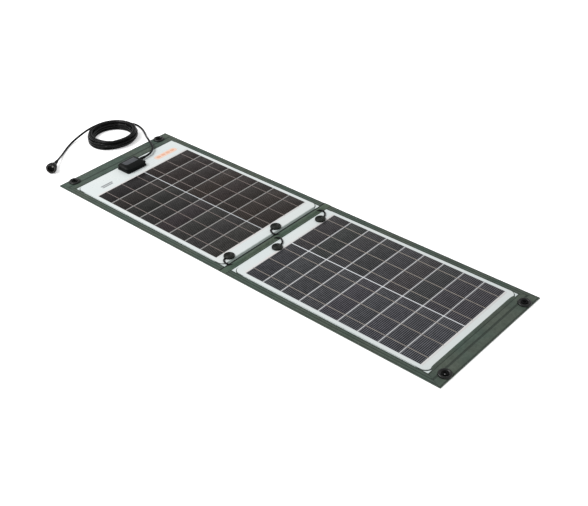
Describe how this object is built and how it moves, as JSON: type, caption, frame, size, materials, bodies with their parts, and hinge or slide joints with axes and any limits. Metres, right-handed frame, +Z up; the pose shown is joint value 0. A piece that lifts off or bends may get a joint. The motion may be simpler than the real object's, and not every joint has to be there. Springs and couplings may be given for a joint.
{
  "type": "folding solar panel",
  "caption": "Folding solar mat with flat laminates on a sewn fabric backing, a fabric fold, corner eyelets, a low junction box and a coiled lead with a round accessory socket.",
  "frame": {"origin": "middle of the open mat, on the surface that it lies on", "axes": "+X along the open mat away from the junction box, +Y across it, +Z up out of the cells"},
  "size_m": [1.3996, 0.377, 0.0295],
  "materials": {
    "fabric": "matt",
    "board": "matt",
    "back_sheet": "satin",
    "encapsulant": "clear",
    "film": "clear satin",
    "cells": "fine textured",
    "ribbon": "tinned",
    "moulding": "satin",
    "foam": "matt",
    "brass": "plain",
    "core": "matt",
    "rubber": "satin",
    "cable": "glossy",
    "nickel": "nickel plated"
  },
  "bodies": {
    "left_wing": {"left_base_fabric": "fabric", "left_backing_board": "board", "left_border_fabric": "fabric", "left_rear_sheet": "back_sheet", "left_rear_encapsulant": "encapsulant", "left_cells": "cells", "left_busbars": "ribbon", "left_cross_ribbons": "ribbon", "left_mask_strips": "back_sheet", "left_front_encapsulant": "encapsulant", "left_front_film": "film", "left_terminal_caps": "moulding", "left_terminal_studs": "brass", "left_eyelets": "moulding", "left_eyelet_washers": "moulding", "box_adhesive_pad": "foam", "box_base": "moulding", "box_gasket": "foam", "box_lid": "moulding", "terminal_block": "board", "terminal_clamps": "brass", "blocking_diode": "moulding", "cable_cores": "core", "cable_relief": "rubber", "cable_box_tail": "cable", "cable_coil": "cable", "cable_socket_tail": "cable", "socket_boot": "rubber", "socket_shell": "moulding", "socket_liner": "nickel", "socket_insulator": "board", "socket_contact": "brass", "near_wire_loop_left": "cable", "far_wire_loop_left": "cable"},
    "spine": {"spine_base_fabric": "fabric", "spine_cover": "fabric", "near_link_wire": "cable", "far_link_wire": "cable"},
    "right_wing": {"right_base_fabric": "fabric", "right_backing_board": "board", "right_border_fabric": "fabric", "right_rear_sheet": "back_sheet", "right_rear_encapsulant": "encapsulant", "right_cells": "cells", "right_busbars": "ribbon", "right_cross_ribbons": "ribbon", "right_mask_strips": "back_sheet", "right_front_encapsulant": "encapsulant", "right_front_film": "film", "right_terminal_caps": "moulding", "right_terminal_studs": "brass", "right_eyelets": "moulding", "right_eyelet_washers": "moulding", "near_wire_loop_right": "cable", "far_wire_loop_right": "cable"}
  },
  "joints": [
    {"name": "spine_fold", "type": "hinge", "parent": "left_wing", "child": "spine", "pos_m": [-0.0087, 0, 0.0026], "axis": [0, -1, 0], "range_deg": [0, 90], "deforming": ["near_wire_loop_left", "far_wire_loop_left"]},
    {"name": "wing_fold", "type": "hinge", "parent": "spine", "child": "right_wing", "pos_m": [0.0139, 0, 0.0026], "axis": [0, -1, 0], "range_deg": [0, 90], "deforming": ["near_wire_loop_right", "far_wire_loop_right"]}
  ]
}
